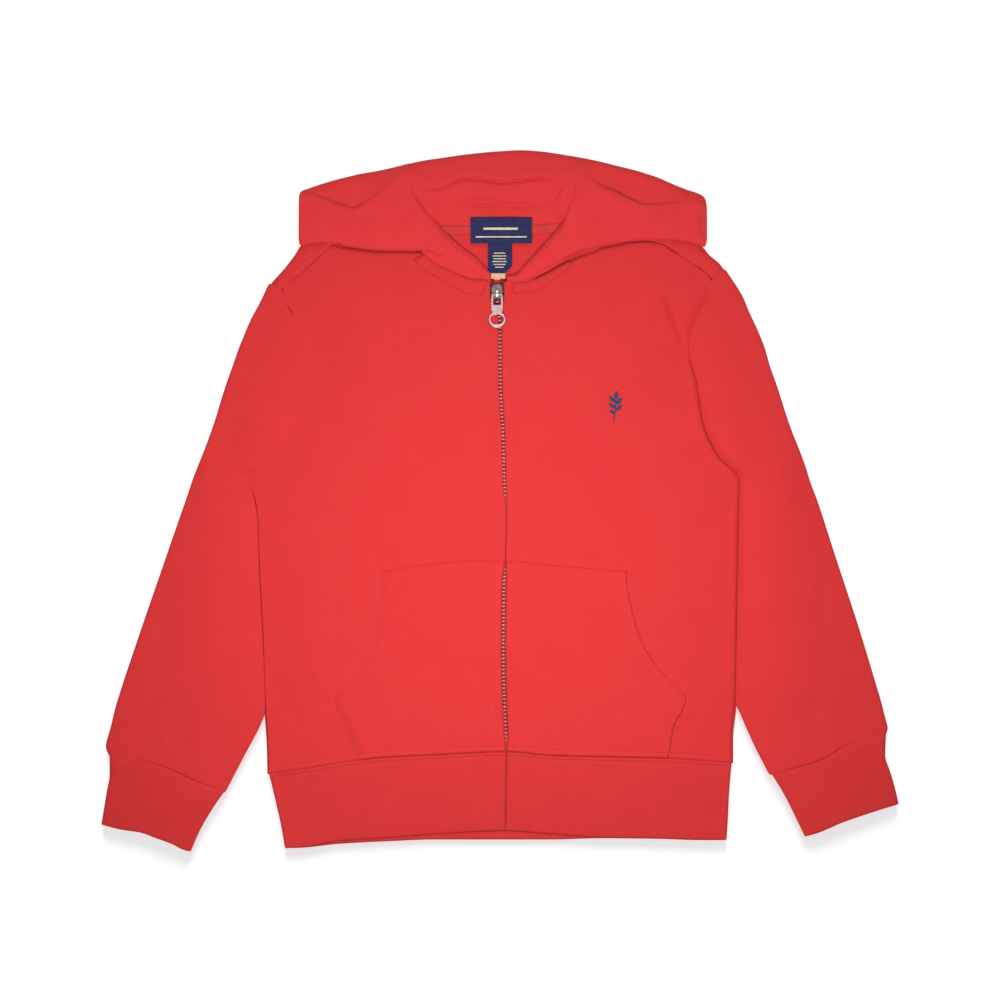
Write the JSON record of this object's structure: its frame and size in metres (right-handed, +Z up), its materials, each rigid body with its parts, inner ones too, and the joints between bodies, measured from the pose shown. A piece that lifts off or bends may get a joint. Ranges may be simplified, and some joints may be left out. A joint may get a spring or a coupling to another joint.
{
  "type": "child hoodie",
  "caption": "Child's red zip-through fleece hoodie laid flat, hood spread open behind the neck, ribbed cuffs and hem, patch pocket and swinging zip pull.",
  "frame": {"origin": "middle of the garment's outline, on the table that it lies on", "axes": "+X towards the right sleeve as seen from above, +Y from the hem towards the hood, +Z up off the table, out of the garment's front"},
  "size_m": [0.623, 0.548, 0.015],
  "materials": {
    "fleece": "matte jersey-faced fleece",
    "rib": "matte fine rib",
    "zip_tape": "woven tape with fine teeth",
    "label": "woven satin",
    "label_end": "woven",
    "nickel": "worn antique nickel"
  },
  "bodies": {
    "garment": {"back": "fleece", "cuff_left": "rib", "cuff_right": "rib", "front_left": "fleece", "front_right": "fleece", "hood_centre": "fleece", "hood_left": "fleece", "hood_right": "fleece", "label_care": "label", "label_main": "label", "label_tab": "label_end", "neck_band_left": "fleece", "neck_band_right": "fleece", "neck_tape": "fleece", "pocket_left": "fleece", "pocket_right": "fleece", "sleeve_left": "fleece", "sleeve_right": "fleece", "waistband": "rib", "zip_left": "zip_tape", "zip_right": "zip_tape", "zip_slider": "nickel"},
    "pull": {"pull_tab": "nickel"}
  },
  "joints": [
    {"name": "pull_swing", "type": "hinge", "parent": "garment", "child": "pull", "pos_m": [-0.0023, 0.1608, 0.00894], "axis": [-1, 0, 0], "range_deg": [0, 165]}
  ]
}
